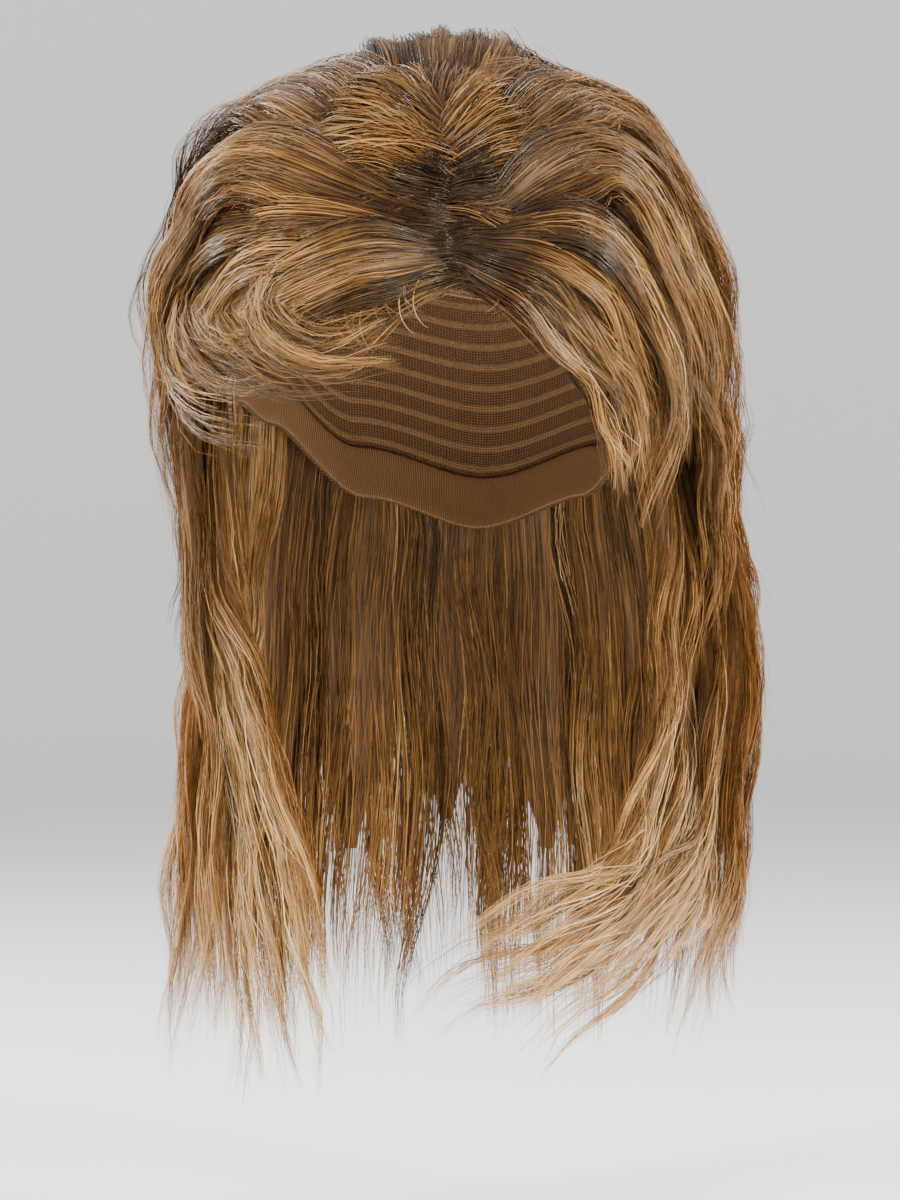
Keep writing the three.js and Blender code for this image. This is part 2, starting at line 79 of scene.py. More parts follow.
# Groups of locks. A row of course is around, fall and lift, each at the first and last lock.
# strands is how many there are, steps the segments of each and clumps how many clumps a lock
# falls into. wave and flick are in millimetres. end is the shortest and longest clump and
# uneven what single hairs fall short of it, as shares of the lock. cover is the share of the
# hairs that lie all round the lock and inner that of clumps on its inner side. tone runs
# from 0, dark, to 1, pale.
GROUPS = [
    dict(
        name="tail_right", locks=5, width=0.85, thick=0.9, root=0.8, weft=True,
        strands=2500, steps=18, clumps=9, wave=5.5, flick=3, end=(0.88, 1.05),
        spread=1, uneven=0.16, cover=0.45, inner=0.4, tone=0.68,
        course=[
            ((-76, -112), (1, 1), (0.08, 0.08)),
            ((-78, -110), (1.22, 1.22), (0.06, 0.3)),
            ((-57, -100), (1.56, 1.56), (-0.3, 0.46)),
            ((-30, -94), (1.97, 1.93), (-0.4, 0.56)),
        ],
    ),
    dict(
        name="tail_left", locks=5, width=0.85, thick=0.9, root=0.8, weft=True,
        strands=2500, steps=18, clumps=9, wave=5.5, flick=2, end=(0.88, 1.04),
        spread=1, uneven=0.16, cover=0.45, inner=0.4, tone=0.66,
        course=[
            ((102, 126), (1, 1), (0.08, 0.08)),
            ((100, 116), (1.25, 1.25), (0.14, 0.8)),
            ((92, 114), (1.5, 1.5), (0.12, 0.88)),
            ((74, 112), (1.72, 1.72), (0.04, 0.74)),
            ((14, 110), (1.87, 1.9), (-0.2, 0.6)),
        ],
    ),
    dict(
        name="tail_back", locks=6, width=1.45, thick=1, root=0.8, weft=True,
        strands=3100, steps=12, clumps=12, wave=4, flick=2, end=(0.9, 1.04),
        spread=1.06, uneven=0.18, cover=0.6, inner=0.5, tone=0.48,
        course=[
            ((-124, -234), (1, 1), (0.08, 0.08)),
            ((-122, -234), (1.25, 1.25), (0.28, 0.5)),
            ((-122, -236), (1.6, 1.6), (0.4, 0.62)),
            ((-120, -238), (1.95, 1.95), (0.36, 0.54)),
        ],
    ),
    dict(
        name="layer_right", locks=3, width=0.95, thick=0.85, root=0.8, weft=True,
        strands=1400, steps=13, clumps=9, wave=4.5, flick=3, end=(0.75, 1.06),
        spread=1, uneven=0.3, cover=0.35, inner=0.3, tone=0.5,
        course=[
            ((-74, -108), (0.88, 0.88), (0.24, 0.24)),
            ((-76, -106), (1.06, 1.06), (0.24, 0.36)),
            ((-76, -104), (1.28, 1.28), (0.2, 0.44)),
            ((-70, -100), (1.5, 1.46), (0.06, 0.42)),
        ],
    ),
    dict(
        name="layer_left", locks=3, width=0.95, thick=0.85, root=0.8, weft=True,
        strands=1400, steps=13, clumps=9, wave=4.5, flick=3, end=(0.75, 1.06),
        spread=1, uneven=0.3, cover=0.35, inner=0.3, tone=0.52,
        course=[
            ((94, 126), (0.88, 0.88), (0.24, 0.24)),
            ((98, 122), (1.06, 1.06), (0.5, 0.6)),
            ((102, 120), (1.24, 1.24), (0.5, 0.74)),
            ((102, 118), (1.4, 1.48), (0.36, 0.78)),
        ],
    ),
    dict(
        name="layer_back", locks=5, width=1.55, thick=0.9, root=0.8, weft=True,
        strands=2200, steps=13, clumps=12, wave=4.5, flick=2, end=(0.75, 1.06),
        spread=1, uneven=0.3, cover=0.4, inner=0.3, tone=0.5,
        course=[
            ((-126, -234), (0.88, 0.88), (0.24, 0.24)),
            ((-126, -234), (1.06, 1.06), (0.48, 0.56)),
            ((-124, -236), (1.26, 1.26), (0.52, 0.68)),
            ((-124, -236), (1.48, 1.48), (0.46, 0.62)),
        ],
    ),
    dict(
        name="crown_right", locks=4, width=1.5, thick=1.3, root=0.35, weft=False,
        strands=2500, steps=22, clumps=14, wave=5.5, flick=0, end=(0.66, 1.22),
        spread=1.06, uneven=0.34, cover=0.42, inner=0.25, tone=0.4,
        course=[
            ((9, 16), (0.45, 0.38), (0.26, 0.3)),
            ((-70, -168), (0.34, 0.06), (0.7, 0.78)),
            ((-94, -178), (0.66, 0.54), (0.6, 0.72)),
            ((-112, -182), (1.16, 1.18), (0.42, 0.5)),
        ],
    ),
    dict(
        name="crown_left", locks=4, width=1.5, thick=1.3, root=0.35, weft=False,
        strands=2500, steps=22, clumps=14, wave=5.5, flick=0, end=(0.66, 1.22),
        spread=1.06, uneven=0.34, cover=0.42, inner=0.2, tone=0.4,
        course=[
            ((23, 31), (0.38, 0.45), (0.3, 0.26)),
            ((148, 76), (0.07, 0.34), (0.78, 0.66)),
            ((164, 98), (0.54, 0.66), (0.7, 0.6)),
            ((160, 118), (1.18, 1.12), (0.52, 0.62)),
        ],
    ),
    dict(
        name="wing_right", locks=3, width=1.05, thick=1.1, root=0.4, weft=False,
        strands=2100, steps=18, clumps=12, wave=5, flick=0, end=(0.66, 1.1),
        spread=1.14, uneven=0.34, cover=0.44, inner=0.2, tone=0.42,
        course=[
            ((9, 8), (0.59, 0.5), (0.16, 0.22)),
            ((-42, -68), (0.56, 0.42), (0.6, 0.72)),
            ((-70, -92), (0.8, 0.74), (0.48, 0.54)),
            ((-84, -106), (1.2, 1.24), (0.34, 0.42)),
        ],
    ),
    dict(
        name="wing_left", locks=3, width=1.05, thick=1.1, root=0.4, weft=False,
        strands=2100, steps=18, clumps=12, wave=5, flick=0, end=(0.66, 1.1),
        spread=1.14, uneven=0.34, cover=0.44, inner=0.2, tone=0.43,
        course=[
            ((32, 31), (0.59, 0.5), (0.16, 0.22)),
            ((60, 80), (0.54, 0.44), (0.56, 0.64)),
            ((78, 98), (0.8, 0.74), (0.56, 0.6)),
            ((86, 106), (1.04, 1.14), (0.52, 0.64)),
        ],
    ),
    dict(
        name="fringe_right", locks=4, width=0.75, thick=0.8, root=0.5, weft=False,
        strands=2100, steps=15, clumps=9, wave=3, flick=0, end=(0.66, 1.03),
        spread=1, uneven=0.36, cover=0.4, inner=0.35, tone=0.41,
        course=[
            ((17, 10), (0.7, 0.64), (0.1, 0.14)),
            ((-8, -40), (0.76, 0.68), (0.26, 0.5)),
            ((-24, -68), (0.84, 0.86), (0.28, 0.44)),
            ((-14, -50), (0.92, 1.0), (0.2, 0.3)),
            ((4, -26), (0.91, 1.02), (0.12, 0.2)),
        ],
    ),
    dict(
        name="fringe_left", locks=4, width=0.7, thick=0.85, root=0.5, weft=False,
        strands=2100, steps=14, clumps=9, wave=3, flick=0, end=(0.66, 1.03),
        spread=1, uneven=0.36, cover=0.4, inner=0.35, tone=0.42,
        course=[
            ((23, 30), (0.7, 0.64), (0.1, 0.14)),
            ((38, 50), (0.8, 0.7), (0.24, 0.5)),
            ((52, 68), (0.93, 0.88), (0.24, 0.44)),
            ((64, 79), (1.06, 1.05), (0.18, 0.34)),
            ((70, 77), (1.15, 1.17), (0.06, 0.2)),
        ],
    ),
]


def smooth(x, low, high):
    t = np.clip((x - low) / (high - low), 0, 1)
    return t * t * (3 - 2 * t)


def read(table, key, column, x):
    keys = np.array(table[key], float)
    values = np.array(table[column], float)
    x = np.asarray(x, float)
    k = np.clip(np.searchsorted(keys, x), 1, len(keys) - 1)
    return values[k - 1] + (values[k] - values[k - 1]) * smooth(x, keys[k - 1], keys[k])


def from_face(around):
    return np.abs(np.mod(np.asarray(around, float) + 180, 360) - 180)


def unit(v):
    return v / np.maximum(np.linalg.norm(v, axis=-1, keepdims=True), 1e-9)


def head_point(around, polar, off):
    a, p = np.radians(around), np.radians(polar)
    return np.stack(
        [
            (HEAD_BREADTH / 2 + off) * np.sin(p) * np.sin(a),
            -(HEAD_LENGTH / 2 + off) * np.sin(p) * np.cos(a),
            (CROWN_HEIGHT + off) * np.cos(p) - CROWN_HEIGHT,
        ],
        -1,
    )


def hair_point(around, fall, lift):
    point = head_point(around, 90 * np.minimum(fall, 1), CAP_WALL + lift * VOLUME)
    point[..., 2] -= np.maximum(fall - 1, 0) * TAIL_DROP
    return point


def outward(p):
    out = p.copy()
    out[..., 2] -= np.minimum(p[..., 2], -CROWN_HEIGHT)
    return unit(out)


# A smooth curve through points, the centripetal Catmull-Rom that the model uses
def catmull(points, samples):
    points = [2 * points[0] - points[1], *points, 2 * points[-1] - points[-2]]
    t = np.linspace(0, 1, 40, endpoint=False)[:, None]
    out = []
    for p0, p1, p2, p3 in zip(points, points[1:], points[2:], points[3:]):
        d0, d1, d2 = (math.sqrt(np.linalg.norm(b - a)) for a, b in ((p0, p1), (p1, p2), (p2, p3)))
        m1 = ((p1 - p0) / d0 - (p2 - p0) / (d0 + d1) + (p2 - p1) / d1) * d1
        m2 = ((p2 - p1) / d1 - (p3 - p1) / (d1 + d2) + (p3 - p2) / d2) * d1
        c2 = -3 * p1 + 3 * p2 - 2 * m1 - m2
        c3 = 2 * p1 - 2 * p2 + m1 + m2
        out.append(p1 + m1 * t + c2 * t**2 + c3 * t**3)
    out.append(points[-2][None])
    return resample(np.concatenate(out), samples)


def resample(curve, samples):
    length = np.concatenate([[0], np.cumsum(np.linalg.norm(np.diff(curve, axis=0), axis=1))])
    spots = np.linspace(0, length[-1], samples)
    return np.stack([np.interp(spots, length, curve[:, k]) for k in range(3)], -1)


LINE_POINTS = 97  # of a lock's centre line
PART_POINTS = 8  # of the curve from the parting to a lock's root
PART_REACH = 0.12  # of a lock's length, from the parting to its root


# Centre line of a lock, with the directions across it and out of the head, and its length.
# Where a group has no weft, the hair starts at the parting, before the lock's own root.
def lock_frame(group, i):
    u = i / (group["locks"] - 1)
    rows = group["course"]
    points = []
    for k, (around, fall, lift) in enumerate(rows):
        share = k / (len(rows) - 1)
        spot = [np.array(low + (high - low) * u) for low, high in (around, fall, lift)]
        spot[1] += TIP_STAGGER * share**2 * math.sin(STAGGER_TURN * i)
        spot[2] += LIFT_STAGGER * math.cos(STAGGER_TURN * i) if k else 0
        points.append(hair_point(*spot))
    line = catmull(points, LINE_POINTS)
    length = np.linalg.norm(np.diff(line, axis=0), axis=1).sum()
    along = np.linspace(0, 1, LINE_POINTS)
    if not group["weft"]:
        root_fall = rows[0][1][0] + (rows[0][1][1] - rows[0][1][0]) * u
        root_around = PARTING["around"] - 1 + 3 * math.sin(STAGGER_TURN * i + len(group["name"]))
        start = hair_point(np.array(root_around), np.array(root_fall), np.array(0.1))
        run = unit(line[1] - line[0])
        gap = np.linalg.norm(line[0] - start)
        t = np.linspace(0, 1, PART_POINTS + 1)[:-1, None]
        bend = start + (line[0] - start) * 0.5
        bend = bend + outward(start[None])[0] * 0.25 * gap - run * 0.1 * gap
        before = (1 - t) ** 2 * start + 2 * t * (1 - t) * bend + t**2 * line[0]
        line = np.concatenate([before, line])
        along = np.concatenate([-PART_REACH * (1 - t[:, 0]), along])
    run = unit(np.gradient(line, axis=0))
    across = unit(np.cross(outward(line), run))
    up = np.cross(run, across)
    return dict(along=along, line=line, run=run, across=across, up=up, length=length)


def at(lock, key, s):
    return np.stack([np.interp(s, lock["along"], lock[key][:, k]) for k in range(3)], -1)


def srgb(hexa):
    c = np.array([int(hexa[k : k + 2], 16) for k in (0, 2, 4)]) / 255
    return np.where(c <= 0.04045, c / 12.92, ((c + 0.055) / 1.055) ** 2.4)


TONES = np.array([srgb(h) for h in ("2c1a0c", "64431f", "9d6f3b", "c69a62", "edd9b4")])


def tone_colour(t):
    t = np.clip(t, 0, 1) * (len(TONES) - 1)
    return np.stack([np.interp(t, np.arange(len(TONES)), TONES[:, k]) for k in range(3)], -1)


# A smooth mesh of one piece, from points in millimetres
def mesh_object(name, points, faces, material):
    mesh = bpy.data.meshes.new(name)
    mesh.vertices.add(len(points))
    mesh.vertices.foreach_set("co", (points * METRES).astype(np.float32).ravel())
    mesh.loops.add(faces.size)
    mesh.loops.foreach_set("vertex_index", faces.astype(np.int32).ravel())
    mesh.polygons.add(len(faces))
    mesh.polygons.foreach_set("loop_start", np.arange(0, faces.size, faces.shape[1], dtype=np.int32))
    mesh.polygons.foreach_set("use_smooth", np.full(len(faces), True))
    mesh.update(calc_edges=True)
    mesh.materials.append(material)
    obj = bpy.data.objects.new(name, mesh)
    bpy.context.scene.collection.objects.link(obj)
    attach(obj, "root")
    return obj


# Map given at each corner of each face
def add_map(mesh, name, uv):
    layer = mesh.uv_layers.new(name=name)
    layer.uv.foreach_set("vector", uv.astype(np.float32).ravel())


# Quads of a grid that closes round its columns, with the map of their corners
def round_grid(rows, columns, start=0):
    k, j = (g.ravel() for g in np.meshgrid(np.arange(rows - 1), np.arange(columns), indexing="ij"))
    n = (j + 1) % columns
    here, below = k * columns, (k + 1) * columns
    quads = np.stack([here + j, below + j, below + n, here + n], -1)
    corners = ((j, k), (j, k + 1), (j + 1, k + 1), (j + 1, k))
    uv = np.stack([np.stack(corner, -1) for corner in corners], 1)
    return quads + start, uv / [columns, rows - 1]


# Quads across the closed end of such a grid, whose ring starts at the point named first
def end_quads(first, columns):
    m = np.arange(columns // 2 - 1)
    quads = np.stack([m, m + 1, columns - 2 - m, columns - 1 - m], -1) + first
    return quads, np.full((len(quads), 4, 2), 0.5)


CLUMP_PITCH = 44  # shortest wave of a clump, in millimetres
CLUMP_HEIGHT = 0.42  # of a clump's width
WAVE_STEPS = 4.4  # fewest segments of a strand to a wave
WILD_SHARE = 0.07  # of the hairs, those that stray furthest


# Columns for the clumps of a lock: where each lies in its section, where it ends, how it
# drifts and waves, how far its painted shade from the parting reaches and how wide it is. The first
# row of wave, turn and pitch is across the lock and the second out of it. A lock's clumps wave nearly
# together.
def clump_table(group, short):
    clumps = group["clumps"]
    even = lambda low, high, shape=clumps: rng.uniform(low, high, shape)
    across = ((np.arange(clumps) + even(0.1, 0.9)) / clumps * 2 - 1) * 0.98
    rng.shuffle(across)
    out = 1 - 1.2 * even(0, 1) ** 1.5
    out = np.where(even(0, 1) < group["inner"], -out, out)
    end = even(*group["end"])
    end[rng.integers(clumps)] = group["end"][1]
    return dict(
        across=across,
        out=out,
        end=end,
        drift=even(-0.4, 0.4),
        wave=even(0.4, 1.2, (2, clumps)) * group["wave"],
        turn=rng.uniform(0, 2 * math.pi, (2, 1)) + even(-1.1, 1.1, (2, clumps)),
        pitch=(max(short, CLUMP_PITCH) + rng.uniform(0, 24)) * even(0.92, 1.2, (2, clumps)),
        # share of the lock over which the painted shade from the parting fades out
        dark=even(0.22, 0.66),
        flick=even(-5, 5) + group["flick"],
        side=even(-7, 7),
        tone=even(-0.2, 0.2) + group["tone"],
        wide=LOCK_WIDTH * group["width"] / clumps * even(0.8, 1.7),
    )


# Loose hair of a lock: strands in rounded clumps, which narrow towards their ends
def strand_points(group, lock, count):
    short = WAVE_STEPS * lock["length"] / group["steps"]
    table = clump_table(group, short)
    which = rng.integers(0, group["clumps"], count)
    clump = {key: values[..., which, None] for key, values in table.items()}
    start = -PART_REACH if not group["weft"] else 0.0
    end = clump["end"] * (1 - group["uneven"] * rng.uniform(0, 1, (count, 1)) ** 2)
    first = start + rng.uniform(0, 0.09 if group["weft"] else 0.17, (count, 1))
    t = np.linspace(0, 1, group["steps"] + 1)[None, :]
    s = first + (end - first) * t
    s_in = np.minimum(s, 1)
    share = np.clip(s / clump["end"], 0, 1)

    half = LOCK_WIDTH * group["width"] * group["spread"] / 2 * read(HAIR_FORM, "along", "width", s_in)
    if group["weft"]:
        root = LOCK_WIDTH * group["width"] / 2 * group["root"]
        half = np.where(s_in < 0.24, np.maximum(half, root), half)
    deep = LOCK_THICK * group["thick"] / 2 * read(HAIR_FORM, "along", "thick", s_in)
    a = np.clip(clump["across"] + clump["drift"] * smooth(share, 0.1, 1), -1, 1)
    b = clump["out"] * np.sqrt(np.clip(1 - 0.75 * a**2, 0.1, 1))
    cover = rng.uniform(0, 1, (count, 1)) < group["cover"]
    ring = rng.uniform(0, 2 * math.pi, (count, 1))
    rise = rng.uniform(0.86, 0.98, (count, 1))
    a = np.where(cover, np.cos(ring) * rise, a)
    b = np.where(cover, np.sin(ring) * rise, b)

    # Place of a strand within its clump, which lies over the others like a flat roll
    angle = rng.uniform(0, 2 * math.pi, (count, 1))
    radius = np.sqrt(rng.uniform(0, 1, (count, 1)))
    narrow = (0.35 + 0.65 * smooth(s, start, 0.2)) * (1 - 0.66 * smooth(share, 0.35, 1))
    da = radius * np.cos(angle) * narrow
    db = radius * np.sin(angle) * narrow

    grow = smooth(s, 0.0, 0.35)
    mm = s * lock["length"]
    wide = np.where(cover, 0, clump["wide"])
    side = a * half + da * wide
    lift = b * deep + db * wide * CLUMP_HEIGHT
    grow = grow * np.where(cover, 0.7, 1)
    swing, crest = np.sin(2 * math.pi * mm / clump["pitch"] + clump["turn"])
    raised = 0 if group["weft"] else 0.35
    side += grow * 0.7 * clump["wave"][0] * swing
    lift += grow * 0.6 * clump["wave"][1] * (raised + crest)
    late = smooth(share, 0.6, 1) ** 2
    late = late * np.where(cover, 0.4, 1)
    lift += clump["flick"] * late
    side += clump["side"] * late

    # Each hair's own two small waves, large where it is wild
    wild = rng.uniform(0, 1, (count, 1)) < WILD_SHARE
    size = np.where(wild, rng.uniform(1.5, 4.5, (count, 1)), rng.uniform(0.2, 0.9, (count, 1)))
    own = []
    for _ in range(2):
        pitch = rng.uniform(short, short + 70, (count, 1))
        turn = rng.uniform(0, 2 * math.pi, (count, 1))
        own.append(size * grow * (0.5 + 0.9 * share) * np.sin(2 * math.pi * mm / pitch + turn))
    side += own[0]
    lift += np.where(wild, np.abs(own[1]), own[1] * 0.7)
    over = np.maximum(s - 1, 0) * lock["length"]
    point = at(lock, "line", s_in) + at(lock, "run", s_in) * over[..., None]
    point += at(lock, "across", s_in) * side[..., None] + at(lock, "up", s_in) * lift[..., None]

    # Tone of each hair, paler towards its end, with painted shade at the parting, at the edges of
    # clumps, on the hairs that lie round the lock and deep in the lock, and a painted highlight on
    # wild hairs
    tone = clump["tone"] + rng.normal(0, 0.09, (count, 1)) + 0.14 * (share - 0.4)
    # Painted shade at the parting, which fades out over each clump's dark reach
    if not group["weft"]:
        tone = tone - 0.5 * (1 - smooth(s, -0.06, clump["dark"]))
    edge = radius**2 * (np.sin(angle) < 0.6)
    # Painted shade at the edges of clumps, on the hairs round the lock and deep in the lock
    tone = tone - 0.16 * np.where(cover, 0.7, edge) - 0.2 * (1 - smooth(np.abs(b), 0, 0.8))
    # Painted highlight: wild hairs paler
    tone = np.where(wild, tone + 0.15, tone)
    return point, at(lock, "up", s_in), tone, t, wild


ROUND_TILT = math.radians(36)  # of the shading at a ribbon's edges


# Ribbons along rows of points, with rounded shading, a colour and a cell of the map each
def ribbons(name, point, out, tone, t, width, material):
    n, k = point.shape[:2]
    run = unit(np.gradient(point, axis=1))
    side = unit(np.cross(out, run))
    up = np.cross(run, side)
    bend = np.linspace(-1, 1, k)[None, :, None]
    twist = rng.normal(0, 0.3, (n, 1, 1)) + rng.normal(0, 0.35, (n, 1, 1)) * bend
    flat = side * np.cos(twist) + up * np.sin(twist)
    face = up * np.cos(twist) - side * np.sin(twist)
    wide = width * np.interp(t, [0, 0.1, 0.8, 1], [0.6, 1, 0.9, 0.15])
    half = flat * wide[..., None] / 2
    points = np.stack([point - half, point + half], 2).reshape(-1, 3)
    lean = flat * math.sin(ROUND_TILT)
    edges = [face * math.cos(ROUND_TILT) + lean * edge for edge in (-1, 1)]
    normals = np.stack(edges, 2).reshape(-1, 3)
    base = (np.arange(n)[:, None] * k + np.arange(k - 1)[None, :]) * 2
    faces = np.stack([base, base + 2, base + 3, base + 1], -1).reshape(-1, 4)
    obj = mesh_object(name, points, faces, material)
    colour = np.ones((n, k, 2, 4), np.float32)
    colour[..., :3] = tone_colour(tone)[:, :, None, :]
    layer = obj.data.color_attributes.new("tone", "FLOAT_COLOR", "POINT")
    layer.data.foreach_set("color", colour.ravel())
    columns = math.ceil(math.sqrt(n / 4))
    rows = math.ceil(n / columns)
    cell = np.arange(n)[:, None, None]
    u = cell % columns + np.array([0.15, 0.85])
    v = cell // columns + 0.06 + 0.88 * t[0][None, :, None]
    uv = np.stack(np.broadcast_arrays(u / columns, v / rows), -1).reshape(-1, 2)
    add_map(obj.data, "OFBake", uv[faces.ravel()])
    obj.data.normals_split_custom_set_from_vertices(normals.astype(np.float32))
    return obj


# All the loose hair of a group, as one piece
def strands(group, material):
    locks = [lock_frame(group, i) for i in range(group["locks"])]
    count = group["strands"] // len(locks)
    made = [strand_points(group, lock, count) for lock in locks]
    point, out, tone, wild = (np.concatenate([m[k] for m in made]) for k in (0, 1, 2, 4))
    width = rng.uniform(0.26, 0.48, (len(point), 1)) * np.where(wild, 0.6, 1)
    return ribbons(group["name"] + "_strands", point, out, tone, made[0][3], width, material)


# Short hair that leaves the parting to both sides and back over the underhair
def parting_hair(material, count=3300, steps=9, clumps=120):
    front = rng.uniform(0, 1, clumps) < 0.36
    fall = np.where(front, rng.uniform(0.6, 0.76, clumps), rng.uniform(0.24, 0.62, clumps))
    hand = np.where(rng.uniform(0, 1, clumps) < 0.5, -1, 1)
    lean = 12 + 78 * smooth(fall, 0.2, 0.62) + 16 * smooth(fall, 0.66, 0.76)
    lean = np.radians(lean + rng.normal(0, 12, clumps)) * hand
    reach = np.where(front, rng.uniform(26, 44, clumps), rng.uniform(34, 58, clumps))
    reach = np.radians(reach + 26 * (1 - smooth(fall, 0.24, 0.42)))
    high = np.where(front, rng.uniform(0.5, 3, clumps), rng.uniform(1, 5.5, clumps))
    # Painted shade: darker towards the front of the parting, where this hair goes under the locks
    tone = 0.35 - 0.17 * smooth(fall, 0.45, 0.58) + rng.normal(0, 0.05, clumps)
    which = rng.integers(0, clumps, count)
    aside = (hand * rng.uniform(-8, 3, clumps))[which]
    a = np.radians(PARTING["around"] - 1 + aside + rng.normal(0, 1.2, count))
    p = np.radians(90 * (fall[which] + rng.normal(0, 0.014, count)))
    lean = lean[which] + rng.normal(0, 0.1, count)
    reach = (reach[which] * rng.uniform(0.66, 1.05, count))[:, None]
    start = np.stack([np.sin(p) * np.sin(a), -np.sin(p) * np.cos(a), np.cos(p)], -1)
    top = np.stack([-np.cos(p) * np.sin(a), np.cos(p) * np.cos(a), np.sin(p)], -1)
    side = np.stack([np.cos(a), np.sin(a), np.zeros(count)], -1)
    head = top * np.cos(lean)[:, None] + side * np.sin(lean)[:, None]
    t = np.linspace(0, 1, steps + 1)[None, :]
    turn = (reach * t)[..., None]
    ball = start[:, None] * np.cos(turn) + head[:, None] * np.sin(turn)
    around = np.degrees(np.arctan2(ball[..., 0], -ball[..., 1]))
    polar = np.degrees(np.arccos(np.clip(ball[..., 2], -1, 1)))
    edge = 90 * read(UNDERHAIR_EDGE, "around", "fall", from_face(around))
    base = underhair_surface(around, polar / edge)
    out = outward(base)
    wave = rng.uniform(0, 2 * math.pi, (count, 1))
    rise = 0.4 + high[which][:, None] * np.sin(t * math.pi * 0.92)
    rise = rise + rng.uniform(0, 1.4, (count, 1)) * t + 0.6 * np.sin(t * 9 + wave)
    point = base + out * rise[..., None]
    shade = tone[which][:, None] + rng.normal(0, 0.12, (count, 1))
    # Painted shade, darker at the roots in the parting and a little towards the tips
    shade = shade - 0.3 * (1 - smooth(t, 0, 0.7)) - 0.1 * smooth(t, 0.6, 1)
    width = rng.uniform(0.34, 0.6, (count, 1))
    return ribbons("parting_strands", point, out, shade, t, width, material)


# Single fine hairs that curl down over the forehead from the front edge
def wisps(material, count=90, steps=14, clumps=15):
    t = np.linspace(0, 1, steps + 1)[None, :]
    clump = rng.integers(0, clumps, count)
    begin = rng.uniform(-2, 38, clumps)[clump] + rng.normal(0, 1.8, count)
    turn = np.where(begin < PARTING["around"], -1, 1) * rng.uniform(0.7, 1.2, clumps)[clump]
    drop = rng.uniform(0.1, 0.26, clumps)[clump] * rng.uniform(0.6, 1.05, count)
    swing = rng.uniform(9, 22, clumps)[clump] + rng.normal(0, 1.6, count)
    arc = rng.uniform(2.2, 3.1, clumps)[clump][:, None] * t
    around = begin[:, None] + (turn * swing)[:, None] * (np.sin(arc) * 0.75 + 0.35 * t)
    fall = 0.72 + drop[:, None] * (1 - np.cos(arc)) / 1.8
    lift = 0.03 + 0.12 * np.sin(arc * 0.8) + rng.uniform(0, 0.05, (count, 1)) * t
    point = hair_point(around, fall, lift)
    # Painted shade, darker at their roots under the front edge
    tone = rng.normal(0.5, 0.12, (count, 1)) - 0.2 * (1 - smooth(t, 0, 0.4))
    width = rng.uniform(0.2, 0.34, (count, 1))
    return ribbons("forehead_wisps", point, outward(point), tone, t, width, material)


BODY_END = 0.72  # of a lock's length
BODY_GROW = 0.82  # of a lock's section
BODY_FADE = 0.36  # of a lock's length, from where the body thins out


# The body of each lock, under its loose hair
def masses(group, material, sections=22, sides=14):
    points, faces, maps = [], [], []
    start = 0.0 if group["weft"] else -0.25 * PART_REACH
    s = start + (BODY_END - start) * np.linspace(0, 1, sections)
    turn = np.linspace(0, 2 * math.pi, sides, endpoint=False)
    for i in range(group["locks"]):
        lock = lock_frame(group, i)
        root = group["root"] * (1 - smooth(s, 0, LOCK_FORM["along"][1]))
        wide = LOCK_WIDTH * group["width"] * (root + read(LOCK_FORM, "along", "width", s))
        deep = LOCK_THICK * group["thick"] * read(LOCK_FORM, "along", "thick", s)
        close = BODY_GROW * np.sqrt(1 - smooth(s, BODY_FADE, BODY_END) * 0.985)
        close = close * np.sqrt(0.03 + 0.97 * smooth(s, start, start + 0.14))
        ridge = 1 + 0.05 * np.sin(5 * turn[None, :] + 9 * s[:, None] + i)
        a = (wide * close)[:, None] / 2 * np.cos(turn) * ridge
        b = (deep * close)[:, None] / 2 * np.sin(turn) * ridge
        ring = (
            at(lock, "line", s)[:, None]
            + at(lock, "across", s)[:, None] * a[..., None]
            + at(lock, "up", s)[:, None] * b[..., None]
        )
        first = i * sections * sides
        points.append(ring.reshape(-1, 3))
        quads, uv = round_grid(sections, sides, first)
        root_end, root_uv = end_quads(first, sides)
        tip_end, tip_uv = end_quads(first + (sections - 1) * sides, sides)
        faces += [quads[:, ::-1], root_end[:, ::-1], tip_end]
        uv = (uv[:, ::-1] + [i, 0]) / [group["locks"], 1]
        maps += [uv, root_uv, tip_uv]
    points = np.concatenate(points)
    faces = np.concatenate(faces)
    obj = mesh_object(group["name"] + "_body", points, faces, material)
    add_map(obj.data, "lock", np.concatenate(maps))
    return obj


# Closed wall between two surfaces of degrees round the head and share of the way down
def wall(name, outer, inner, material, around=96, down=26):
    shares = np.linspace(0.004, 1, down)
    angles = np.linspace(0, 360, around, endpoint=False)
    grid_d, grid_a = np.meshgrid(shares, angles, indexing="ij")
    sheets = [outer(grid_a, grid_d).reshape(-1, 3), inner(grid_a, grid_d).reshape(-1, 3)]
    size = down * around
    quads, uv = round_grid(down, around)
    top, top_uv = end_quads(0, around)
    low = (down - 1) * around
    j = np.arange(around)
    n = (j + 1) % around
    rim = np.stack([low + j, size + low + j, size + low + n, low + n], -1)
    rim_uv = uv[-around:][:, [1, 1, 2, 2]]
    faces = np.concatenate([quads, quads[:, ::-1] + size, rim, top, top[:, ::-1] + size])
    maps = np.concatenate([uv, uv[:, ::-1], rim_uv, top_uv, top_uv])
    obj = mesh_object(name, np.concatenate(sheets), faces, material)
    add_map(obj.data, "rows", maps)
    return obj


# Degrees down from the top at which the cap's rim lies
def rim_polar(around, off):
    depth = read(RIM_LINE, "around", "depth", from_face(around)) * CROWN_HEIGHT
    return np.degrees(np.arccos((CROWN_HEIGHT - depth) / (CROWN_HEIGHT + off)))


def cap_surface(off):
    return lambda around, down: head_point(around, down * rim_polar(around, off), off)


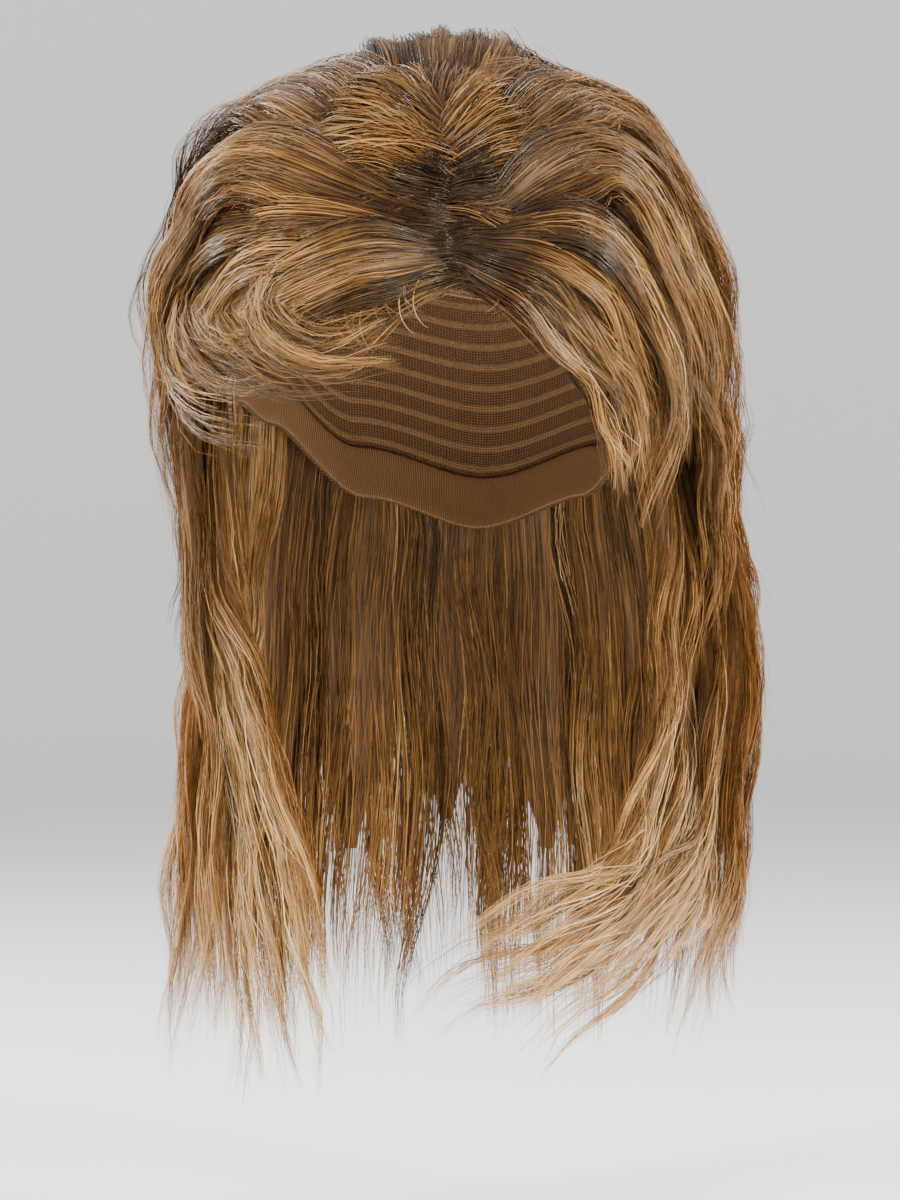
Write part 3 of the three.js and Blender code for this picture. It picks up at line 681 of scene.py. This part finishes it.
def underhair_surface(around, down):
    hollow = head_point(PARTING["around"], 90 * PARTING["fall"], 0)
    polar = 90 * read(UNDERHAIR_EDGE, "around", "fall", from_face(around)) * down
    off = np.linalg.norm(head_point(around, polar, 0) - hollow, axis=-1) / PARTING["spread"]
    dip = 1 - PARTING["depth"] * np.exp(-(off**2))
    lift = read(UNDERHAIR_THICKNESS, "down", "lift", down) * dip
    ripple = 0.5 * np.sin(np.radians(around) * 23 + 5 * down) * np.sin(9 * down)
    return head_point(around, polar, CAP_WALL + SEAM + lift * VOLUME + ripple)


def underhair_inside(around, down):
    polar = 90 * read(UNDERHAIR_EDGE, "around", "fall", from_face(around)) * down
    return head_point(around, polar, CAP_WALL + SEAM)


# Materials
def new_material(name):
    material = bpy.data.materials.new(name)
    material.use_nodes = True
    tree = material.node_tree
    shader = tree.nodes["Principled BSDF"]
    return material, tree, shader


def node(tree, kind, **values):
    made = tree.nodes.new(kind)
    for key, value in values.items():
        if key in made.inputs:
            made.inputs[key].default_value = value
        else:
            setattr(made, key, value)
    return made


# An output carried from one range to another
def map_range(tree, value, source, target=(0, 1)):
    made = node(tree, "ShaderNodeMapRange")
    for key, end in zip(("From Min", "From Max", "To Min", "To Max"), (*source, *target)):
        made.inputs[key].default_value = end
    tree.links.new(value, made.inputs["Value"])
    return made.outputs["Result"]


def colour_ramp(tree, value, dark, pale, ends=(0, 1)):
    made = node(tree, "ShaderNodeValToRGB")
    for element, hexa, position in zip(made.color_ramp.elements, (dark, pale), ends):
        element.position = position
        element.color = (*srgb(hexa), 1)
    tree.links.new(value, made.inputs["Fac"])
    return made.outputs["Color"]


def scaled(tree, colour, factor):
    made = node(tree, "ShaderNodeVectorMath", operation="SCALE")
    tree.links.new(colour, made.inputs[0])
    tree.links.new(factor, made.inputs["Scale"])
    return made.outputs["Vector"]


def add_bump(tree, shader, height, strength, depth):
    made = node(tree, "ShaderNodeBump", Strength=strength, Distance=depth)
    tree.links.new(height, made.inputs["Height"])
    tree.links.new(made.outputs["Normal"], shader.inputs["Normal"])


# A map of the mesh, repeated so many times across and along
def stretched_map(tree, map_name, count):
    place = node(tree, "ShaderNodeUVMap", uv_map=map_name)
    stretch = node(tree, "ShaderNodeMapping")
    stretch.inputs["Scale"].default_value = (*count, 1)
    tree.links.new(place.outputs["UV"], stretch.inputs["Vector"])
    return stretch.outputs["Vector"]


# Even bands of the rows map, so many across or along
def bands(tree, across, along):
    wave = node(tree, "ShaderNodeTexWave", bands_direction="X" if across else "Y", Scale=0.5)
    tree.links.new(stretched_map(tree, "rows", (across, along)), wave.inputs["Vector"])
    return wave.outputs["Fac"]


# Colour by the tone of each strand, with noise in its shade and shine
def hair_material():
    material, tree, shader = new_material("hair_fibre")
    tone = node(tree, "ShaderNodeAttribute", attribute_name="tone")
    place = node(tree, "ShaderNodeTexCoord")
    noise = node(tree, "ShaderNodeTexNoise", Scale=90.0, Detail=2.0)
    tree.links.new(place.outputs["Object"], noise.inputs["Vector"])
    shade = map_range(tree, noise.outputs["Fac"], (0.3, 0.7), (0.78, 1.2))
    rough = map_range(tree, noise.outputs["Fac"], (0.35, 0.65), (0.16, 0.42))
    tree.links.new(scaled(tree, tone.outputs["Color"], shade), shader.inputs["Base Color"])
    tree.links.new(rough, shader.inputs["Roughness"])
    shader.inputs["IOR"].default_value = 1.38
    shader.inputs["Specular IOR Level"].default_value = 0.55
    shader.inputs["Specular Tint"].default_value = (1.0, 0.88, 0.66, 1.0)
    return material


# Streaks along the hair by a map, with painted shade towards its roots, which lie under the loose
# hair
def body_material(name, map_name, count, dark, pale, rough):
    material, tree, shader = new_material(name)
    noise = node(tree, "ShaderNodeTexNoise", Scale=1.0, Detail=4.0)
    tree.links.new(stretched_map(tree, map_name, count), noise.inputs["Vector"])
    streaks = colour_ramp(tree, noise.outputs["Fac"], dark, pale, (0.34, 0.7))
    place = node(tree, "ShaderNodeUVMap", uv_map=map_name)
    parts = node(tree, "ShaderNodeSeparateXYZ")
    tree.links.new(place.outputs["UV"], parts.inputs["Vector"])
    # Painted shade: the colour falls to 0.3 of itself at the root end of the map
    root = map_range(tree, parts.outputs["Y"], (0, 0.32), (0.3, 1))
    tree.links.new(scaled(tree, streaks, root), shader.inputs["Base Color"])
    add_bump(tree, shader, noise.outputs["Fac"], 0.8, 0.0008)
    shader.inputs["Roughness"].default_value = rough
    return material


# Stretch net with sewn rows
def net_material():
    material, tree, shader = new_material("cap_net")
    net = node(tree, "ShaderNodeMath", operation="MAXIMUM")
    tree.links.new(bands(tree, 260, 0), net.inputs[0])
    tree.links.new(bands(tree, 0, 120), net.inputs[1])
    rows = map_range(tree, bands(tree, 0, 15), (0.72, 0.86))
    mix = node(tree, "ShaderNodeMix", data_type="RGBA")
    mix.inputs["B"].default_value = (*srgb("8d6a45"), 1)
    tree.links.new(rows, mix.inputs["Factor"])
    tree.links.new(colour_ramp(tree, net.outputs["Value"], "2e1d10", "7a5634"), mix.inputs["A"])
    tree.links.new(mix.outputs["Result"], shader.inputs["Base Color"])
    height = node(tree, "ShaderNodeMath", operation="ADD")
    tree.links.new(net.outputs["Value"], height.inputs[0])
    tree.links.new(rows, height.inputs[1])
    add_bump(tree, shader, height.outputs["Value"], 0.7, 0.0008)
    shader.inputs["Roughness"].default_value = 0.85
    return material


# Ribbed elastic, its ribs across the band
def elastic_material():
    material, tree, shader = new_material("elastic")
    ribs = bands(tree, 300, 0)
    tree.links.new(colour_ramp(tree, ribs, "6b4a2c", "9c7346"), shader.inputs["Base Color"])
    add_bump(tree, shader, ribs, 0.6, 0.0005)
    shader.inputs["Roughness"].default_value = 0.75
    return material


# The rim band as a closed strip with rounded edges
def band_strip():
    around, across = 160, 6
    angles = np.linspace(0, 360, around, endpoint=False)
    turn = np.linspace(0, 2 * math.pi, 2 * across, endpoint=False)
    a, t = np.meshgrid(angles, turn, indexing="ij")
    down = 0.5 + 0.5 * np.sign(np.cos(t)) * np.abs(np.cos(t)) ** 0.6
    off = -SEAM - BAND_WALL * (0.5 - 0.5 * np.sign(np.sin(t)) * np.abs(np.sin(t)) ** 0.6)
    polar = rim_polar(a, 0) * (BAND_ROW + (1 - BAND_ROW) * down)
    points = head_point(a, polar, off).reshape(-1, 3)
    columns = 2 * across
    j, k = (g.ravel() for g in np.meshgrid(np.arange(around), np.arange(columns), indexing="ij"))
    n, m = (j + 1) % around, (k + 1) % columns
    faces = np.stack([j * columns + k, n * columns + k, n * columns + m, j * columns + m], -1)
    obj = mesh_object("rim_elastic", points, faces, elastic_material())
    uv = np.stack([np.stack(c, -1) for c in ((j, k), (j + 1, k), (j + 1, k + 1), (j, k + 1))], 1)
    add_map(obj.data, "rows", uv / [around, columns])
    return obj


fibre = hair_material()
# Lock bodies and underhair, both with painted shade towards their roots
body = body_material("hair_body", "lock", (900, 5), "2f1b0b", "9a6a36", 0.55)
underhair_root_shade = body_material("underhair_fibre", "rows", (900, 9), "24150a", "6a4722", 0.55)

cap = wall("cap_shell", cap_surface(CAP_WALL), cap_surface(0), net_material())
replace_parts(cap, "cap")
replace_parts(band_strip(), "rim_band")
under = wall("underhair_mass", underhair_surface, underhair_inside, underhair_root_shade)
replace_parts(under, "underhair")

for group in GROUPS:
    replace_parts(masses(group, body), group["name"])
    strands(group, fibre)
parting_hair(fibre)
wisps(fibre)

# Pale round floor that turns up into a low wall far from the wig
FLOOR = -0.42
FLOOR_DISC = 1.5
FLOOR_REACH = 4.2
FLOOR_BEND = 1.6
BEND_STEPS = 12


def studio_floor():
    profile = [(FLOOR_DISC, 0.0), (FLOOR_REACH, 0.0)]
    for k in range(1, BEND_STEPS + 1):
        turn = math.pi / 2 * k / BEND_STEPS
        profile.append((FLOOR_REACH + FLOOR_BEND * math.sin(turn), FLOOR_BEND * (1 - math.cos(turn))))
    columns = 64
    turns = np.linspace(0, 2 * math.pi, columns, endpoint=False)
    points = [(r * math.cos(a), r * math.sin(a), FLOOR + z) for r, z in profile for a in turns]
    quads = round_grid(len(profile), columns)[0]
    mesh = bpy.data.meshes.new("floor")
    mesh.from_pydata(points, [], quads.tolist() + [list(range(columns))])
    mesh.polygons.foreach_set("use_smooth", np.full(len(mesh.polygons), True))
    obj = bpy.data.objects.new("floor", mesh)
    bpy.context.scene.collection.objects.link(obj)
    material, tree, shader = new_material("floor_paint")
    shader.inputs["Base Color"].default_value = (0.94, 0.94, 0.93, 1)
    shader.inputs["Roughness"].default_value = 0.9
    mesh.materials.append(material)


studio_floor()


LIGHT_AIM = Vector((0, 0, -0.15))
LIGHTS = [
    dict(name="key", place=(-1.2, -1.7, 1.3), size=(0.4, 0.4), watts=66),
    dict(name="fill", place=(1.6, -1.4, 1.1), size=(0.4, 0.6), watts=56),
    dict(name="rim_left", place=(-1.6, 0.5, 0.9), size=(0.6, 0.6), watts=56),
    dict(name="rim_right", place=(1.7, 0.4, 0.9), size=(0.6, 0.6), watts=60),
]

for row in LIGHTS:
    light = bpy.data.lights.new(row["name"], "AREA")
    light.shape = "RECTANGLE"
    light.size, light.size_y = row["size"]
    light.energy = row["watts"]
    lamp = bpy.data.objects.new(row["name"], light)
    lamp.location = row["place"]
    lamp.rotation_euler = (LIGHT_AIM - Vector(row["place"])).to_track_quat("-Z", "Y").to_euler()
    bpy.context.scene.collection.objects.link(lamp)

world = bpy.data.worlds.new("studio")
world.use_nodes = True
sky = world.node_tree.nodes["Background"]
sky.inputs["Color"].default_value = (1, 1, 1, 1)
sky.inputs["Strength"].default_value = 0.74
bpy.context.scene.world = world

# Camera at the photograph's angle, level with the face
AZIMUTH = math.radians(12)
DISTANCE = 1.8
FRAME_HEIGHT = 0.4615
AIM_ASIDE = 0.005
AIM_HEIGHT = -0.1723
aim = Vector((AIM_ASIDE * math.cos(AZIMUTH), AIM_ASIDE * math.sin(AZIMUTH), AIM_HEIGHT))
back = Vector((math.sin(AZIMUTH), -math.cos(AZIMUTH), 0))
camera = bpy.data.objects.new("camera", bpy.data.cameras.new("camera"))
camera.data.sensor_fit = "VERTICAL"
camera.data.angle_y = 2 * math.atan(FRAME_HEIGHT / 2 / DISTANCE)
camera.location = aim + back * DISTANCE
camera.rotation_euler = (-back).to_track_quat("-Z", "Y").to_euler()
bpy.context.scene.collection.objects.link(camera)
bpy.context.scene.camera = camera
